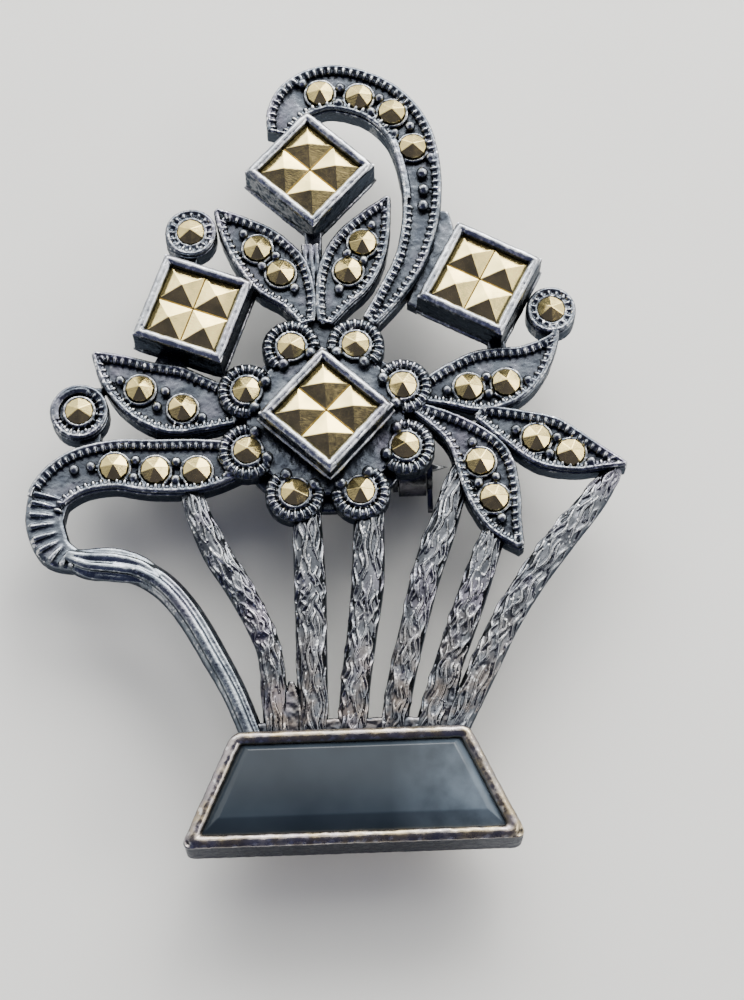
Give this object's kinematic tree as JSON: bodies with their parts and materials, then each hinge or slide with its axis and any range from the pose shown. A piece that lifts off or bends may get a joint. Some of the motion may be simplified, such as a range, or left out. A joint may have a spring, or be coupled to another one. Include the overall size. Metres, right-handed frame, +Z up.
{
  "type": "brooch",
  "caption": "Silver flower-basket brooch with square and round marcasites, a bevelled onyx base, a hinged garment pin and a turning safety catch.",
  "frame": {"origin": "on the flat back of the casting, on the line of the garment pin, behind the middle of the flower", "axes": "+Z up the bouquet from the onyx base to the arch, +Y backwards into the garment, so that the face looks along -Y, +X to the right of the face as it is looked at"},
  "size_m": [0.0324, 0.0066, 0.0452],
  "materials": {
    "oxidised_silver": "cast silver, darkened in the hollows and rubbed bright on the high edges",
    "pin_wire": "drawn wire, bright with light scratches",
    "marcasite": "polished pale gold facets",
    "onyx": "polished black"
  },
  "bodies": {
    "brooch": {"openwork_frame": "oxidised_silver", "arch_scroll": "oxidised_silver", "flower_plate": "oxidised_silver", "top_setting": "oxidised_silver", "left_setting": "oxidised_silver", "right_setting": "oxidised_silver", "centre_setting": "oxidised_silver", "onyx_cup": "oxidised_silver", "hinge_bracket": "oxidised_silver", "catch_cradle": "oxidised_silver", "top_square_stone_1": "marcasite", "top_square_stone_2": "marcasite", "top_square_stone_3": "marcasite", "top_square_stone_4": "marcasite", "left_square_stone_1": "marcasite", "left_square_stone_2": "marcasite", "left_square_stone_3": "marcasite", "left_square_stone_4": "marcasite", "right_square_stone_1": "marcasite", "right_square_stone_2": "marcasite", "right_square_stone_3": "marcasite", "right_square_stone_4": "marcasite", "centre_square_stone_1": "marcasite", "centre_square_stone_2": "marcasite", "centre_square_stone_3": "marcasite", "centre_square_stone_4": "marcasite", "upper_left_leaf_stone_1": "marcasite", "upper_left_leaf_stone_2": "marcasite", "upper_right_leaf_stone_1": "marcasite", "upper_right_leaf_stone_2": "marcasite", "left_leaf_stone_1": "marcasite", "left_leaf_stone_2": "marcasite", "right_upper_leaf_stone_1": "marcasite", "right_upper_leaf_stone_2": "marcasite", "right_lower_leaf_stone_1": "marcasite", "right_lower_leaf_stone_2": "marcasite", "down_leaf_stone_1": "marcasite", "down_leaf_stone_2": "marcasite", "scroll_stone_1": "marcasite", "scroll_stone_2": "marcasite", "scroll_stone_3": "marcasite", "arch_stone_1": "marcasite", "arch_stone_2": "marcasite", "arch_stone_3": "marcasite", "arch_stone_4": "marcasite", "upper_left_circle_stone": "marcasite", "right_circle_stone": "marcasite", "left_circle_stone": "marcasite", "petal_stone_1": "marcasite", "petal_stone_2": "marcasite", "petal_stone_3": "marcasite", "petal_stone_4": "marcasite", "petal_stone_5": "marcasite", "petal_stone_6": "marcasite", "petal_stone_7": "marcasite", "petal_stone_8": "marcasite", "onyx_stone": "onyx", "hinge_rivet": "pin_wire"},
    "pin": {"pin_stem": "pin_wire"},
    "catch": {"catch_sleeve": "oxidised_silver"}
  },
  "joints": [
    {"name": "pin_swing", "type": "hinge", "parent": "brooch", "child": "pin", "pos_m": [-0.0099, 0.00175, 0], "axis": [0, 0, 1], "range_deg": [0, 75]},
    {"name": "catch_turn", "type": "hinge", "parent": "brooch", "child": "catch", "pos_m": [0.0049, 0.00175, 0], "axis": [1, 0, 0], "range_deg": [0, 150]}
  ]
}
